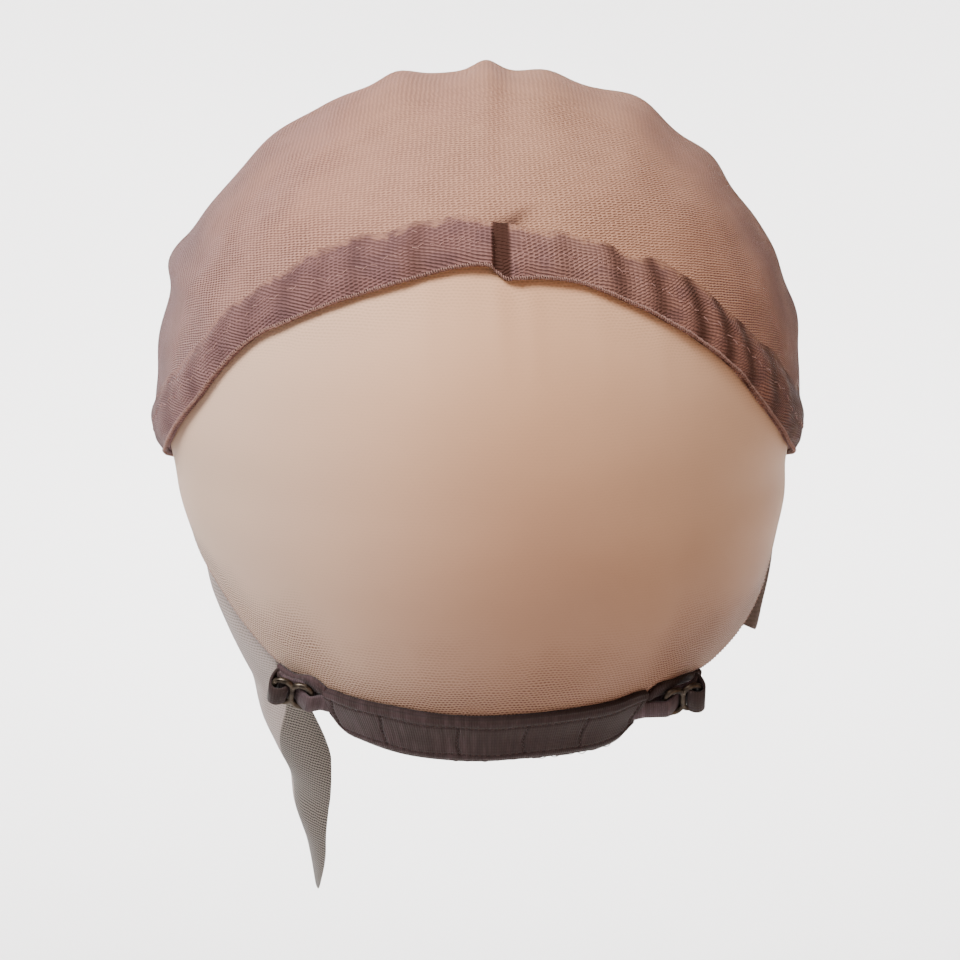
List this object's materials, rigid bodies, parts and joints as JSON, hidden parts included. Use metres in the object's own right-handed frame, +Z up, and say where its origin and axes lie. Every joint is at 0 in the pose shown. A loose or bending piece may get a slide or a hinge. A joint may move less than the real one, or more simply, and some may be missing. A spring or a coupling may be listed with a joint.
{
  "type": "wig cap",
  "caption": "Wig cap with a mesh crown and doubled back hem, a fine net back panel on a nape band with strap sliders, and a front lace left long on one side.",
  "frame": {"origin": "the point inside the crown where the top of the head bears, on the middle plane above the ears", "axes": "+Z up, +Y towards the wearer's forehead, +X towards the wearer's right"},
  "size_m": [0.1579, 0.1891, 0.201],
  "materials": {
    "stretch_mesh": "fine stretch mesh, rose brown, matt",
    "doubled_mesh": "the same mesh folded double and stitched, darker",
    "nude_net": "fine nude monofilament net with a soft glint",
    "front_net": "grey-mauve hexagonal lace net",
    "ribbon": "woven ribbon, dark mauve brown, satin",
    "elastic": "woven elastic, grey mauve",
    "bronzed_wire": "bronzed wire, half gloss"
  },
  "bodies": {
    "root": {"crown": "stretch_mesh", "crown_hem": "doubled_mesh", "back_panel": "nude_net", "front_lace": "front_net", "nape_band": "ribbon", "strap_left": "elastic", "slider_left": "bronzed_wire", "tab_left": "ribbon", "binding_left": "ribbon", "strap_right": "elastic", "slider_right": "bronzed_wire", "tab_right": "ribbon", "binding_right": "ribbon"}
  },
  "joints": []
}
